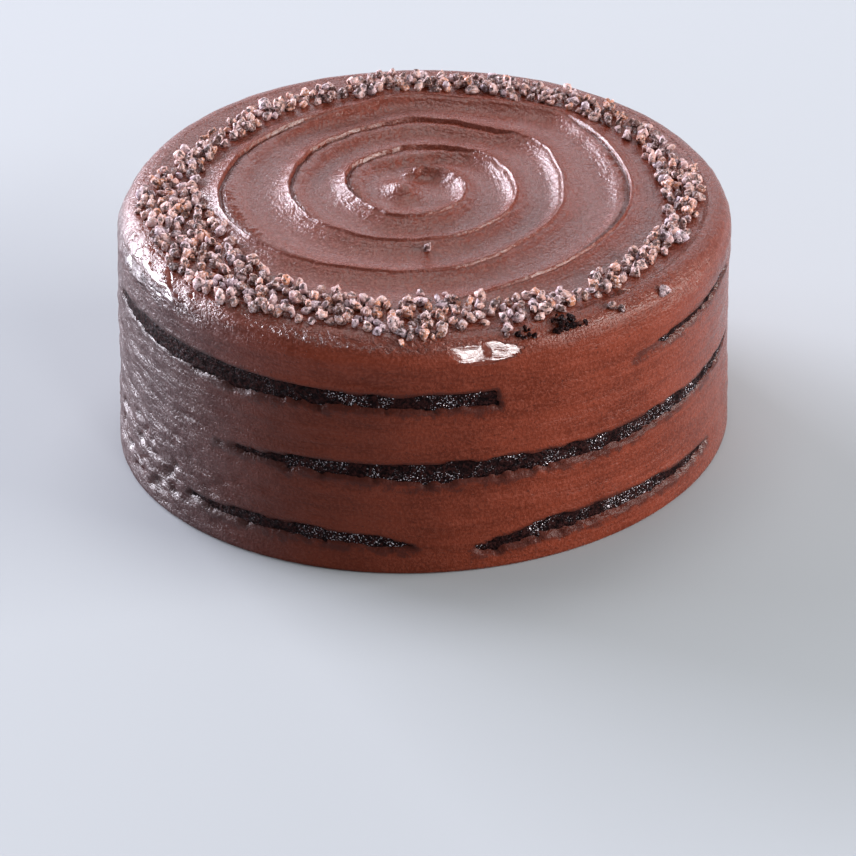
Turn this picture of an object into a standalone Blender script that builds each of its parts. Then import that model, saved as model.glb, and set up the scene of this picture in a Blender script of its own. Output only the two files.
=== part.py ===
"""Chocolate truffle cake: three sponge layers inside one coat of frosting, which is drawn
into a swirl on top and ringed with chopped nibs. Metres, +Z up, with the origin in the
middle of the underside. Directions round the cake are in degrees from its front, which
faces -Y, and grow towards +X."""

import math
import random

import bmesh
import bpy
from mathutils import Euler, Vector

# Outer form, before it leans
TOP_HEIGHT = 0.084
WALL_RADIUS = 0.102
FOOT_RADIUS = 0.103
FOOT_EDGE = 0.001
EVEN_FOOT = 0.010
RIM_ROUND_OUT = 0.009
RIM_ROUND_DOWN = 0.010
SEGMENTS = 68
TOP_RING_STEP = 0.003
OUTER_TOP_RINGS = 3
WALL_RINGS = 4
RIM_STEPS = 3

# How the stack stands: it leans towards +X and its top slopes down that way
LEAN = 0.0355
WEDGE = 0.0277

# Sponge layers: lower and upper height of each
SPONGE_RADIUS = 0.100
SPONGES = {
    "sponge_bottom": (0.0, 0.022),
    "sponge_middle": (0.028, 0.048),
    "sponge_top": (0.054, 0.074),
}
GAP = 0.0003

# Bands where the coat leaves the sponge bare: direction of both ends, height of the
# band's middle at both ends, and its thickness at both ends
BARE_BANDS = (
    (-80, 12, 0.0615, 0.0640, 0.0068, 0.0042),
    (45, 75, 0.0645, 0.0695, 0.0022, 0.0022),
    (-18, 76, 0.0372, 0.0392, 0.0058, 0.0028),
    (-50, -2, 0.0112, 0.0106, 0.0040, 0.0050),
    (8, 62, 0.0095, 0.0120, 0.0058, 0.0024),
)
BAND_STEP = 6
BAND_WAVE = 0.0005
BAND_DEPTH = 0.008

# Swirl: one crest that winds inwards from the front, seen from its own centre
SWIRL_CENTRE = Vector((-0.0060, 0.0025))
SWIRL_START = 0.0782
SWIRL_PITCH = 0.0213
SWIRL_PITCH_LOSS = 0.00062
SWIRL_DRIFT = 0.00170
SWIRL_OVAL = 0.00060
SWIRL_TURNS = 3.5
SWIRL_FADE = 0.15
BULGE = (44, 16, 0.0038)
DENT = (125, 22, 0.0054)
CREST_HEIGHT = 0.0028
CREST_SHARPNESS = 1.7
VALLEY_PLACE = 0.42
OUTER_FALL = 0.0087
PEAK_HEIGHT = 0.0042
PEAK_RADIUS = 0.0065

# Ring of nibs: direction, inner and outer radius
NIB_RING = (
    (0, 0.0735, 0.0945),
    (10, 0.0740, 0.0910),
    (20, 0.0775, 0.0920),
    (28, 0.0785, 0.0930),
    (36, 0.0830, 0.0915),
    (45, 0.0785, 0.0900),
    (60, 0.0800, 0.0895),
    (75, 0.0810, 0.0915),
    (90, 0.0780, 0.0925),
    (105, 0.0780, 0.0895),
    (130, 0.0785, 0.0890),
    (150, 0.0770, 0.0890),
    (180, 0.0770, 0.0875),
    (210, 0.0770, 0.0875),
    (225, 0.0750, 0.0860),
    (240, 0.0755, 0.0860),
    (255, 0.0775, 0.0880),
    (270, 0.0780, 0.0930),
    (285, 0.0740, 0.0925),
    (300, 0.0740, 0.0925),
    (315, 0.0725, 0.0950),
    (330, 0.0740, 0.0945),
    (350, 0.0745, 0.0920),
    (360, 0.0735, 0.0945),
)
NIB_LENGTH = (0.0036, 0.0048)
NIB_SPACING = 0.0062
NIB_COUNT = 136
NIB_LUMPINESS = 0.14
NIB_SIDES = 5
NIB_TAPER = 0.34
NIB_WIDTH = (0.7, 0.95)
NIB_DEPTH = 0.95
NIB_TILT = 0.4
NIB_LIFT = 0.16
STRAY_NIBS = (
    (0.0006, -0.0395),
    (-0.0022, -0.0681),
    (0.0590, -0.0767),
    (0.0760, -0.0642),
    (-0.0088, -0.0950),
    (0.0033, -0.0955),
)

MATERIALS = {
    "frosting": ((0.125, 0.036, 0.024, 1.0), 0.42),
    "sponge": ((0.022, 0.007, 0.005, 1.0), 0.60),
}


def bell(angle, middle, width):
    """1 at the middle direction and 0 well away from it, in degrees."""
    away = (angle - middle + 180) % 360 - 180
    return math.exp(-((away / width) ** 2))


def direction(degrees):
    """Unit vector of a direction round the cake."""
    turn = math.radians(degrees)
    return Vector((math.sin(turn), -math.cos(turn)))


def crest_radius(turn, angle):
    """Distance of the crest from the swirl's centre, where turn counts inwards."""
    radius = SWIRL_START - SWIRL_PITCH * turn + SWIRL_PITCH_LOSS * turn**2
    radius += SWIRL_DRIFT * turn * math.cos(angle) + SWIRL_OVAL * math.sin(2 * angle)
    if turn < 1:
        degrees = math.degrees(angle)
        radius += BULGE[2] * bell(degrees, *BULGE[:2]) - DENT[2] * bell(degrees, *DENT[:2])
    return radius


def crest_height(turn):
    """Height of the crest, which fades out at both ends."""
    fade = min(turn, SWIRL_TURNS - turn) / SWIRL_FADE
    return CREST_HEIGHT * max(0.0, min(1.0, fade))


def swirl_height(x, y):
    """Height of the drawn frosting over the flat top."""
    away = Vector((x, y)) - SWIRL_CENTRE
    distance = away.length
    angle = math.atan2(away.y, away.x)
    turn = (angle / math.tau + 0.25) % 1.0
    height = PEAK_HEIGHT * math.exp(-((distance / PEAK_RADIUS) ** 2))
    outside = distance - crest_radius(turn, angle)
    if outside >= 0:
        return crest_height(turn) * max(0.0, 1 - outside / OUTER_FALL) ** CREST_SHARPNESS
    while turn + 1 < SWIRL_TURNS and distance < crest_radius(turn + 1, angle):
        turn += 1
    outer = crest_radius(turn, angle)
    if turn + 1 >= SWIRL_TURNS:
        return height + crest_height(turn) * (distance / outer) ** CREST_SHARPNESS
    inner = crest_radius(turn + 1, angle)
    share = (distance - inner) / (outer - inner)
    if share < VALLEY_PLACE:
        fall = 1 - share / VALLEY_PLACE
        return height + crest_height(turn + 1) * fall**CREST_SHARPNESS
    rise = (share - VALLEY_PLACE) / (1 - VALLEY_PLACE)
    return height + crest_height(turn) * rise**CREST_SHARPNESS


def surface_height(x, y):
    """Height of the frosting's upper surface, as far out as the rim's rounded edge."""
    past_flat = math.hypot(x, y) - (WALL_RADIUS - RIM_ROUND_OUT)
    if past_flat <= 0:
        return TOP_HEIGHT + swirl_height(x, y)
    drop = 1 - math.sqrt(max(0.0, 1 - (past_flat / RIM_ROUND_OUT) ** 2))
    return TOP_HEIGHT - RIM_ROUND_DOWN * drop


def wall_wave(angle, z):
    """Unevenness of the coat, outwards."""
    return 0.0004 * math.sin(3 * angle + 40 * z) + 0.0003 * math.sin(5 * angle - 70 * z + 1)


def settle(point):
    """The place of a point once the stack leans and its top slopes."""
    z = point.z * (1 - WEDGE * point.x / TOP_HEIGHT)
    return Vector((point.x + LEAN * z, point.y, z))


def material(name):
    colour, roughness = MATERIALS[name]
    made = bpy.data.materials.new(name)
    made.use_nodes = True
    shader = made.node_tree.nodes["Principled BSDF"]
    shader.inputs["Base Color"].default_value = colour
    shader.inputs["Roughness"].default_value = roughness
    made.diffuse_color = colour
    return made


def add_object(name, bm, collection):
    """A mesh object with its faces pointing out."""
    bmesh.ops.recalc_face_normals(bm, faces=bm.faces)
    mesh = bpy.data.meshes.new(name)
    bm.to_mesh(mesh)
    bm.free()
    made = bpy.data.objects.new(name, mesh)
    collection.objects.link(made)
    return made


def add_helper(name, bm, collection):
    """An object that only cuts or joins another."""
    helper = add_object(name, bm, collection)
    helper.hide_render = True
    helper.display_type = "WIRE"
    return helper


def spin_profile(bm, points, closed, start, angle, steps):
    """Turns a profile of (radius, height) points about Z, from a direction in degrees."""
    out = direction(start)
    verts = [bm.verts.new((r * out.x, r * out.y, z)) for r, z in points]
    geometry = verts + [bm.edges.new(pair) for pair in zip(verts, verts[1:])]
    if closed:
        geometry.append(bm.faces.new(verts))
    bmesh.ops.spin(
        bm, geom=geometry, cent=(0, 0, 0), axis=(0, 0, 1), angle=angle, steps=steps
    )
    bmesh.ops.remove_doubles(bm, verts=bm.verts, dist=1e-6)


def outer_profile():
    """The turned outline, from the middle of the top over the rim to the underside."""
    flat = WALL_RADIUS - RIM_ROUND_OUT
    swirl_rings = int(SWIRL_START / TOP_RING_STEP)
    points = [(ring * TOP_RING_STEP, TOP_HEIGHT) for ring in range(swirl_rings + 1)]
    reached = points[-1][0]
    for step in range(1, OUTER_TOP_RINGS + 1):
        points.append((reached + (flat - reached) * step / OUTER_TOP_RINGS, TOP_HEIGHT))
    for step in range(1, RIM_STEPS + 1):
        turn = math.pi / 2 * step / RIM_STEPS
        radius = flat + RIM_ROUND_OUT * math.sin(turn)
        points.append((radius, TOP_HEIGHT - RIM_ROUND_DOWN * (1 - math.cos(turn))))
    rim_foot = TOP_HEIGHT - RIM_ROUND_DOWN
    for ring in range(1, WALL_RINGS + 1):
        share = ring / WALL_RINGS
        radius = WALL_RADIUS + (FOOT_RADIUS - WALL_RADIUS) * share**2
        points.append((radius, rim_foot + (FOOT_EDGE - rim_foot) * share))
    return points + [(FOOT_RADIUS - FOOT_EDGE, 0.0), (0.0, 0.0)]


def shape_coat(bm):
    """Lifts the swirl on the turned form and makes its wall uneven."""
    flat = WALL_RADIUS - RIM_ROUND_OUT
    for vert in bm.verts:
        radius = vert.co.xy.length
        if vert.co.z > TOP_HEIGHT - 1e-6 and radius < flat + 1e-6:
            vert.co.xy += SWIRL_CENTRE * (1 - radius / flat)
            vert.co.z = surface_height(vert.co.x, vert.co.y)
        elif radius > flat:
            angle = math.atan2(vert.co.y, vert.co.x)
            share = min(1.0, vert.co.z / EVEN_FOOT)
            vert.co.xy *= 1 + wall_wave(angle, vert.co.z) * share / radius


def cavity(name, lower, upper, collection):
    """The room that a sponge layer takes in the frosting."""
    bm = bmesh.new()
    radius = SPONGE_RADIUS + GAP
    depth = upper - lower
    bmesh.ops.create_cone(
        bm, cap_ends=True, segments=SEGMENTS, radius1=radius, radius2=radius, depth=depth
    )
    bmesh.ops.translate(bm, verts=bm.verts, vec=(0, 0, (lower + upper) / 2))
    return add_helper(name, bm, collection)


def bare_band(name, band, collection):
    """The opening in the coat along one band."""
    start, end, first_middle, last_middle, first_width, last_width = band
    inner = SPONGE_RADIUS - GAP
    outer = inner + BAND_DEPTH
    corners = [(inner, -0.5), (outer, -0.5), (outer, 0.5), (inner, 0.5)]
    bm = bmesh.new()
    steps = round((end - start) / BAND_STEP)
    spin_profile(bm, corners, True, start, math.radians(end - start), steps)
    for vert in bm.verts:
        degrees = math.degrees(math.atan2(vert.co.x, -vert.co.y))
        share = (degrees - start) / (end - start)
        width = first_width + (last_width - first_width) * share
        width += BAND_WAVE * math.sin(degrees * 0.9)
        middle = first_middle + (last_middle - first_middle) * share
        vert.co.z = middle + BAND_WAVE * math.sin(degrees * 0.31) + width * vert.co.z
    return add_helper(name, bm, collection)


def ring_limits(degrees):
    """Inner and outer radius of the nib ring in a direction."""
    for before, after in zip(NIB_RING, NIB_RING[1:]):
        if before[0] <= degrees <= after[0]:
            share = (degrees - before[0]) / (after[0] - before[0])
            return [a + (b - a) * share for a, b in zip(before[1:], after[1:])]
    raise ValueError(f"no nib ring at {degrees} degrees")


def nib_places(rng):
    """Places spread evenly over the ring, no two closer than the spacing, then strays."""
    places = []
    while len(places) < NIB_COUNT:
        degrees = rng.uniform(0, 360)
        inner, outer = ring_limits(degrees)
        radius = math.sqrt(rng.uniform(inner**2, outer**2))
        place = direction(degrees) * radius
        if all((place - other).length > NIB_SPACING for other in places):
            places.append(place)
    return places + [Vector(place) for place in STRAY_NIBS]


def nib(name, place, rng, collection):
    """One rough granule, its foot sunk into the frosting."""
    bm = bmesh.new()
    bmesh.ops.create_cone(
        bm, cap_ends=True, segments=NIB_SIDES, radius1=0.5, radius2=NIB_TAPER, depth=1
    )
    length = rng.uniform(*NIB_LENGTH)
    sides = Vector((length, length * rng.uniform(*NIB_WIDTH), length * NIB_DEPTH))
    tilt = [rng.uniform(-NIB_TILT, NIB_TILT) for _ in range(2)]
    turn = Euler((*tilt, rng.uniform(0, math.tau)))
    for vert in bm.verts:
        lump = 1 + rng.uniform(-NIB_LUMPINESS, NIB_LUMPINESS)
        vert.co = vert.co * sides * lump
        vert.co.rotate(turn)
        vert.co += Vector((*place, surface_height(*place) + length * NIB_LIFT))
    bmesh.ops.triangulate(bm, faces=bm.faces)
    return add_helper(name, bm, collection)


def boolean(target, operation, collection, solver):
    cut = target.modifiers.new(operation.lower(), "BOOLEAN")
    cut.operation = operation
    cut.operand_type = "COLLECTION"
    cut.collection = collection
    cut.solver = solver


def apply_modifiers(target):
    graph = bpy.context.evaluated_depsgraph_get()
    mesh = bpy.data.meshes.new_from_object(target.evaluated_get(graph))
    target.modifiers.clear()
    target.data = mesh


def settle_mesh(mesh):
    for vert in mesh.vertices:
        vert.co = settle(vert.co)
    mesh.update()


def new_collection(name):
    made = bpy.data.collections.new(name)
    bpy.context.scene.collection.children.link(made)
    return made


def remove_collection(collection):
    for helper in list(collection.objects):
        bpy.data.objects.remove(helper, do_unlink=True)
    bpy.data.collections.remove(collection)


def build_sponge(name, lower, upper, cake):
    bm = bmesh.new()
    bmesh.ops.create_cone(
        bm,
        cap_ends=True,
        segments=SEGMENTS,
        radius1=SPONGE_RADIUS,
        radius2=SPONGE_RADIUS,
        depth=upper - lower,
    )
    bmesh.ops.translate(bm, verts=bm.verts, vec=(0, 0, (lower + upper) / 2))
    sponge = add_object(name, bm, cake)
    settle_mesh(sponge.data)
    sponge.data.materials.append(material("sponge"))
    sponge.data.set_sharp_from_angle(angle=math.radians(40))


def build_frosting(cake):
    rng = random.Random(7)
    bm = bmesh.new()
    spin_profile(bm, outer_profile(), False, 0, math.tau, SEGMENTS)
    shape_coat(bm)
    frosting = add_object("frosting", bm, cake)

    cutters = new_collection("room for the sponge")
    for name, (lower, upper) in SPONGES.items():
        below = lower - GAP if lower > 0 else -BAND_DEPTH
        cavity(f"{name} room", below, upper + GAP, cutters)
    for index, band in enumerate(BARE_BANDS):
        bare_band(f"bare band {index}", band, cutters)
    boolean(frosting, "DIFFERENCE", cutters, "EXACT")
    apply_modifiers(frosting)
    remove_collection(cutters)

    nibs = new_collection("nibs")
    for index, place in enumerate(nib_places(rng)):
        nib(f"nib {index}", place, rng, nibs)
    boolean(frosting, "UNION", nibs, "MANIFOLD")
    apply_modifiers(frosting)
    remove_collection(nibs)

    settle_mesh(frosting.data)
    frosting.data.materials.append(material("frosting"))
    frosting.data.shade_smooth()
    frosting.data.set_sharp_from_angle(angle=math.radians(45))


def main():
    for obj in list(bpy.data.objects):
        bpy.data.objects.remove(obj, do_unlink=True)
    cake = new_collection("chocolate truffle cake")
    for name, (lower, upper) in SPONGES.items():
        build_sponge(name, lower, upper, cake)
    build_frosting(cake)


main()
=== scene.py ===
import math
import random

import bmesh
import bpy
from mathutils import Euler, Matrix, Vector, noise


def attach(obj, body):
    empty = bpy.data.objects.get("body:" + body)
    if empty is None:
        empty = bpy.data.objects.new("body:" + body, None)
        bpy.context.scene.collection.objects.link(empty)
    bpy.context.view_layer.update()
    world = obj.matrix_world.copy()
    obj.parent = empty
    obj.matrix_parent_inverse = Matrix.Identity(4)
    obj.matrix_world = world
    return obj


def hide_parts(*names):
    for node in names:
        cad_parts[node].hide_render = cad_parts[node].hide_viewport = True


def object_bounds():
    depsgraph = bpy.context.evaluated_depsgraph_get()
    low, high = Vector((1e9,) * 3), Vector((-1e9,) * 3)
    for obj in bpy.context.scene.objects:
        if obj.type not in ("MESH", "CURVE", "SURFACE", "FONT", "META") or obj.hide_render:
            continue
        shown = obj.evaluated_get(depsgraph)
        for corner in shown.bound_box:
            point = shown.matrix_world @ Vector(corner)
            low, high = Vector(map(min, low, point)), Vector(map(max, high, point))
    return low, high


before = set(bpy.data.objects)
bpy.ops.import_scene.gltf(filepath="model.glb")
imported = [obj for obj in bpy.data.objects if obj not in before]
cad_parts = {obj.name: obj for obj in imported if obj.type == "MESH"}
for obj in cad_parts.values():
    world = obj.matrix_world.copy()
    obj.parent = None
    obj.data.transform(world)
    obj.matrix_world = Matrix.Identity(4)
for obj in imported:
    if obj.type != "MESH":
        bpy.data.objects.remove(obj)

cad_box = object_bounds()

# Outer form of the cake before it leans, in metres
TOP_HEIGHT = 0.084
WALL_RADIUS = 0.102
FOOT_RADIUS = 0.1026
FOOT_EDGE = 0.0008
EVEN_FOOT = 0.010
RIM_ROUND_OUT = 0.009
RIM_ROUND_DOWN = 0.010
FLAT_RADIUS = WALL_RADIUS - RIM_ROUND_OUT
LEAN = 0.0355
WEDGE = 0.0277

# How finely the coat is modelled
SEGMENTS = 460
SWIRL_COLUMNS = 20
OUTER_TOP_RINGS = 8
RIM_STEPS = 14
WALL_RINGS = 72

# Sponge layers: lower and upper height of each
SPONGE_RADIUS = 0.1003
SPONGE_SWELL = 0.0010
SPONGE_EDGE = 0.0012
SPONGES = {
    "sponge_bottom": (0.0, 0.022),
    "sponge_middle": (0.028, 0.048),
    "sponge_top": (0.054, 0.074),
}
SPONGE_SEGMENTS = 800
SPONGE_CRUMBS = ((0.00040, 0.0015, 21), (0.00030, 0.0008, 22))
SPONGE_INSET = 0.0003
SWELL_EASE = 0.001
CRUMB_RING = 0.0006

# Bands where the sponge is bare. Each has stations of direction in degrees from the
# front, height of the band's middle and its thickness in millimetres.
BARE_BANDS = (
    ((-81, 61.0, 1.0), (-75, 61.6, 5.0), (-60, 62.2, 7.0), (-40, 62.0, 7.0),
     (-22, 62.3, 6.0), (-8, 62.6, 5.2), (12.5, 62.9, 6.0)),
    ((42, 64.2, 0.8), (57, 65.6, 1.7), (76, 68.2, 2.6)),
    ((-43, 36.6, 0.8), (-33, 37.2, 3.0), (-18, 37.4, 5.6), (0, 36.8, 7.6),
     (15, 37.4, 6.8), (35, 37.2, 6.4), (52, 38.0, 5.2), (70, 38.6, 3.6), (82, 38.9, 1.2)),
    ((-50, 12.6, 1.5), (-42, 12.0, 4.2), (-25, 12.2, 4.6), (-10, 11.2, 4.0),
     (-3, 10.2, 1.5)),
    ((8.3, 8.0, 2.5), (14, 9.4, 5.0), (22, 11.8, 6.8), (32, 12.1, 6.6),
     (45, 11.6, 5.6), (57, 10.8, 3.8), (66, 10.8, 1.2)),
)
BAND_DEPTH = 0.0026
BAND_EDGE = 0.0007
BAND_RAGGED = 0.0010
BAND_END_REACH = 0.006
BAND_SIDE_REACH = 0.005
TORN_EDGE = 0.0022
DEGREE_LENGTH = WALL_RADIUS * math.pi / 180

# Unevenness of the side and rim in metres. A pair is the middle and the width of the
# part that has it, in degrees from the front or as a height.
SIDE_SLANT = 0.25
SIDE_STRETCH = 2.4
RIM_SLANT = -0.11
RIM_STRETCH = 3.6
LEFT_SIDE = (-72, 30)
ROUGH_LEFT = (-70, 30)
ROUGH_RIGHT = (72, 22)
WALL_WAVES = (0.0004, 0.0003)
KNIFE_MARKS = 0.00036
KNIFE_MARKS_LEFT = 0.0002
FINE_MARKS = 0.00016
FINE_MARKS_LEFT = 0.0003
MARK_LENGTH = 0.026
MARK_SQUEEZE = 9
WALL_INSET = 0.0002
WALL_LUMPS = (0.00022, 0.012, 4)
WALL_GRAIN = (0.00016, 0.0046, 9)
PITTED_SIDE = (-68, 24)
PITTED_HEIGHT = 0.038
PITTED_FADE = 0.018
PIT_DEPTH = 0.0020
DIP_DEPTH = 0.0009
DIP_SIDE = (-18, 26)
DIP_HEIGHT = (0.0690, 0.0035)
LINE_DEPTH = 0.0007
LINE_SIDE = (60, 15)
LINE_HEIGHT = 0.0655
LINE_WIDTH = 0.0016
RIM_LEFT = (-62, 24)
RIM_RIGHT = (66, 30)
RIM_RIDGES = 0.00095
RIM_FOOT = 0.071
UPPER_FOOT = 0.0775
RIM_FADE = 0.006
SHINE_SIDE = (-62, 18)
SHINE_HEIGHT = (0.0800, 0.0048)
GLINT_SIDE = (-12, 30)
GLINT_HEIGHT = (0.0818, 0.0022)
HOLE_SIDE = (26.5, 3.4)
HOLE_HEIGHT = (0.0800, 0.0042)
HOLE_DEPTH = 0.0010

# Where the spatula left a flat shiny smear on the rim
SMEAR_DIRECTION = 11.0
SMEAR_SPREAD = 20
SMEAR_TILT = math.radians(60)
SMEAR_RADIUS = 0.1005
SMEAR_HEIGHT = 0.0788
SMEAR_FOOT = 0.070
SMEAR_CUT = 0.0007
SMEAR_EASE = 0.0003
SMEAR_EDGE = 0.00025
SMEAR_TEXTURE = 0.00010

# Swirl: one crest that winds inwards, counterclockwise from the front, seen from its own
# centre. Each block is one turn, and its rows hold degrees wound, radius of the crest and
# width of the ledge just inside it, in millimetres.
SWIRL_CENTRE = Vector((-0.0065, 0.0020))
SWIRL_START = 0.0777
CREST = (
    ((0, 76.0, 0.6), (30, 75.0, 0.7), (60, 74.6, 2.3), (75, 75.3, 3.6), (90, 75.4, 4.4),
     (105, 74.9, 4.2), (120, 75.4, 3.0), (135, 76.5, 1.2), (143, 73.8, 0.9),
     (150, 70.6, 0.9), (165, 68.2, 1.3), (175, 68.6, 1.2), (182, 66.8, 1.0),
     (195, 62.2, 1.0), (205, 61.2, 1.3), (225, 60.8, 3.0), (240, 60.5, 4.8),
     (255, 60.9, 6.0), (270, 61.8, 7.0), (285, 62.1, 7.3), (300, 61.4, 6.6),
     (315, 60.3, 5.0), (330, 59.3, 2.6), (345, 58.8, 1.9)),
    ((0, 58.6, 1.7), (15, 58.6, 1.9), (30, 56.8, 1.5), (45, 54.5, 1.0), (60, 53.8, 1.1),
     (75, 53.7, 1.6), (90, 52.6, 1.5), (105, 53.2, 1.4), (120, 55.2, 1.4),
     (128, 55.5, 1.4), (135, 54.4, 1.6), (142, 52.2, 2.6), (150, 51.2, 3.0),
     (165, 50.9, 3.8), (175, 50.6, 4.8), (185, 48.6, 5.0), (195, 46.5, 4.1),
     (210, 44.0, 4.0), (225, 42.0, 4.5), (240, 40.2, 4.4), (255, 38.9, 3.9),
     (270, 38.1, 3.2), (300, 37.0, 2.0), (320, 36.5, 1.1), (340, 37.0, 0.7)),
    ((0, 37.5, 0.6), (30, 38.3, 0.7), (60, 38.4, 0.8), (75, 37.9, 1.0), (90, 37.1, 1.6),
     (120, 36.3, 1.5), (135, 35.6, 1.5), (142, 34.1, 2.2), (150, 33.1, 3.4),
     (165, 31.6, 5.6), (180, 30.2, 6.6), (188, 28.2, 6.0), (195, 27.1, 5.1),
     (210, 25.3, 4.4), (225, 23.8, 4.3), (240, 22.0, 5.0), (255, 20.1, 5.0),
     (270, 18.8, 4.6), (285, 17.8, 3.5), (300, 17.3, 2.4), (315, 17.4, 2.3),
     (330, 18.5, 3.3), (345, 19.8, 4.7)),
    ((0, 20.4, 5.0), (15, 20.8, 4.4), (30, 21.0, 2.8), (45, 21.0, 1.2), (60, 21.0, 0.8),
     (90, 20.5, 0.8), (120, 19.4, 0.8), (135, 18.7, 0.8), (150, 16.7, 0.9),
     (165, 14.6, 0.9), (180, 12.6, 0.9), (190, 9.5, 0.9), (205, 4.0, 0.5), (225, 0, 0)),
)
SWIRL_START_EASE = 0.03
SWIRL_TURNS = 3.53
SWIRL_END = 3.625
SWIRL_FADE = 0.10
CREST_HEIGHT = 0.0033
CREST_SHARPNESS = 2.2
LIP_HEIGHT = 0.0011
LIP_WIDTH = 0.0006
CREVICE_DEPTH = 0.0015
CREVICE_PLACE = 0.0009
CREVICE_WIDTH = 0.00036
VALLEY_PLACE = 0.38
OUTER_FALL = 0.0115
NOTCH_DEPTH = 0.0007
NOTCH_PLACE = 0.0008
NOTCH_WIDTH = 0.00038
NOTCH_SIDE = (5, 65)
CREST_WOBBLE = 0.00045
CREST_SHAKE = 0.00028
WOBBLE_EASE_IN = 0.1
WOBBLE_EASE_OUT = 0.2
MOST_LEDGE = 0.45
WIDE_LEDGE = 0.0025
CREVICE_LEDGE = 0.0012
CREVICE_EASE = 0.002
LEDGE_GRAIN = (0.00012, 0.0024, 16)
RIPPLE_HEIGHT = 0.00038
RIPPLE_LENGTH = 0.0025
COLUMN_CROWDING = 0.78
POLE_RADIUS = 0.00006
MERGE_DISTANCE = 6e-7
PEAK_HEIGHT = 0.0040
PEAK_RADIUS = 0.0058
PEAK_OFFSET = Vector((-0.0004, 0.0006))
SPATULA_LINES = ((0.00005, 0.0012, 11), (0.00010, 0.0030, 12))
TOP_WAVES = ((0.0003, 0.022, 13), (0.0001, 0.004, 14))

# Ring of nibs: direction, inner and outer radius in millimetres
NIB_RING = (
    (0, 73.0, 95.0), (10, 73.5, 92.0), (20, 77.0, 93.0), (28, 78.5, 93.5),
    (35, 84.0, 92.0), (45, 78.0, 91.0), (60, 79.5, 90.5), (75, 80.5, 92.5),
    (90, 77.5, 93.5), (105, 77.5, 90.0), (130, 78.5, 90.0), (150, 76.5, 90.0),
    (180, 76.5, 88.5), (210, 76.5, 88.5), (225, 74.5, 86.5), (240, 75.0, 86.0),
    (255, 75.5, 88.5), (262, 74.5, 91.5), (270, 73.0, 96.0), (278, 71.0, 94.5),
    (288, 69.5, 93.5), (300, 70.5, 94.5), (315, 70.5, 97.0), (328, 72.5, 96.0),
    (350, 73.5, 93.0), (360, 73.0, 96.0),
)
NIB_EDGE = 0.0011
RING_PATCH = 0.0030
RING_GAP = -0.42
NIB_SIZE = (0.0027, 0.0053, 0.0038)
NIB_SPACING = 0.0030
NIB_TRIES = 30000
PILE_TRIES = 3200
PILE_SIZE = (0.0026, 0.0040, 0.0032)
PILE_SPACING = 0.0044
PILE_LIFT = 0.0018
PILE_REACH = 0.0038
PILE_SUPPORTS = 3
TRAY_SQUARE = 0.006

# Nibs outside the ring: x, y and size in millimetres
STRAY_NIBS = (
    (0.6, -39.5, 3.6), (-2.2, -68.1, 3.4), (5.5, -68.6, 2.0), (58.5, -76.7, 3.4),
    (62.0, -76.9, 2.8), (76.0, -64.2, 4.2), (25.0, -92.3, 3.6), (24.6, -94.4, 2.6),
    (-8.8, -94.8, 3.6), (-11.0, -92.0, 3.2), (-6.2, -96.6, 3.4), (-9.0, -97.8, 2.6),
    (-5.6, -93.2, 3.0), (3.3, -95.2, 3.4), (1.2, -95.8, 2.4), (-16.4, -93.4, 3.6),
    (-14.8, -91.8, 2.6), (-3.0, -94.0, 3.2), (82.0, 14.0, 3.2), (-52.0, -75.5, 3.0),
)

# Heaps of dark crumbs: x and y in millimetres, and how many lie there
DARK_CRUMBS = ((44.0, -86.5, 24), (41.5, -90.0, 14), (31.0, -93.5, 9), (47.5, -88.5, 7))
CRUMB_SCATTER = (1.9, 1.2)
CRUMB_SIZE = (0.0008, 0.0030, 0.0012)
CRUMB_LIFT = 0.0006
CRUMB_REACH = 0.0990

# Shape of a granule, as shares of its size
GRANULE_WIDTH = (0.70, 0.98)
GRANULE_THICKNESS = (0.66, 0.92)
GRANULE_ROUNDNESS = 0.85
GRANULE_GROWTH = 1.12
GRANULE_LUMPS = 0.55
GRANULE_LUMP_SCALE = 3.4
CHOPS = 4
CHOP_DISTANCE = (0.24, 0.38)
GRANULE_SINK = 0.18
BOX_MARGIN = 0.0001


def clamp(value, low=0.0, high=1.0):
    return max(low, min(high, value))


def smooth(value):
    """0 below 0 and 1 above 1, with a soft step between."""
    value = clamp(value)
    return value * value * (3 - 2 * value)


def bell(value, middle, width):
    """1 at the middle and 0 well away from it."""
    return math.exp(-(((value - middle) / width) ** 2))


def direction(degrees):
    """Unit vector of a direction round the cake, counted from the front towards +X."""
    turn = math.radians(degrees)
    return Vector((math.sin(turn), -math.cos(turn)))


def facing(point):
    """Direction of a point in degrees from the front, from -180 to 180."""
    return math.degrees(math.atan2(point.x, -point.y))


def settle(point):
    """The place of a point once the stack leans and its top slopes."""
    z = point.z * (1 - WEDGE * point.x / TOP_HEIGHT)
    return Vector((point.x + LEAN * z, point.y, z))


def grain(point, size, seed=0):
    """Soft noise from -1 to 1 with lumps of about this size."""
    return noise.noise(Vector(point) / size + Vector((seed * 7.3, seed * 3.1, seed)))


def layers(point, kinds):
    """Several kinds of grain at once, each with its height, size and seed."""
    return sum(height * grain(point, size, seed) for height, size, seed in kinds)


def between(stations, place, column):
    """Value of a column of the stations at a place, eased from each to the next."""
    for before, after in zip(stations, stations[1:]):
        if place <= after[0]:
            share = smooth((place - before[0]) / (after[0] - before[0]))
            return before[column] + (after[column] - before[column]) * share
    return stations[-1][column]


WOUND = [(360 * turn + row[0], *row[1:]) for turn, rows in enumerate(CREST) for row in rows]
CREST_RADII = [between(WOUND, degrees, 1) / 1000 for degrees in range(1800)]
LEDGE_WIDTHS = [between(WOUND, degrees, 2) / 1000 for degrees in range(1800)]


def wound(values, turn):
    """Value of a list by degrees wound, at a turn."""
    degrees = clamp(turn * 360, 0, len(values) - 1.001)
    first = int(degrees)
    return values[first] + (values[first + 1] - values[first]) * (degrees - first)


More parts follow.
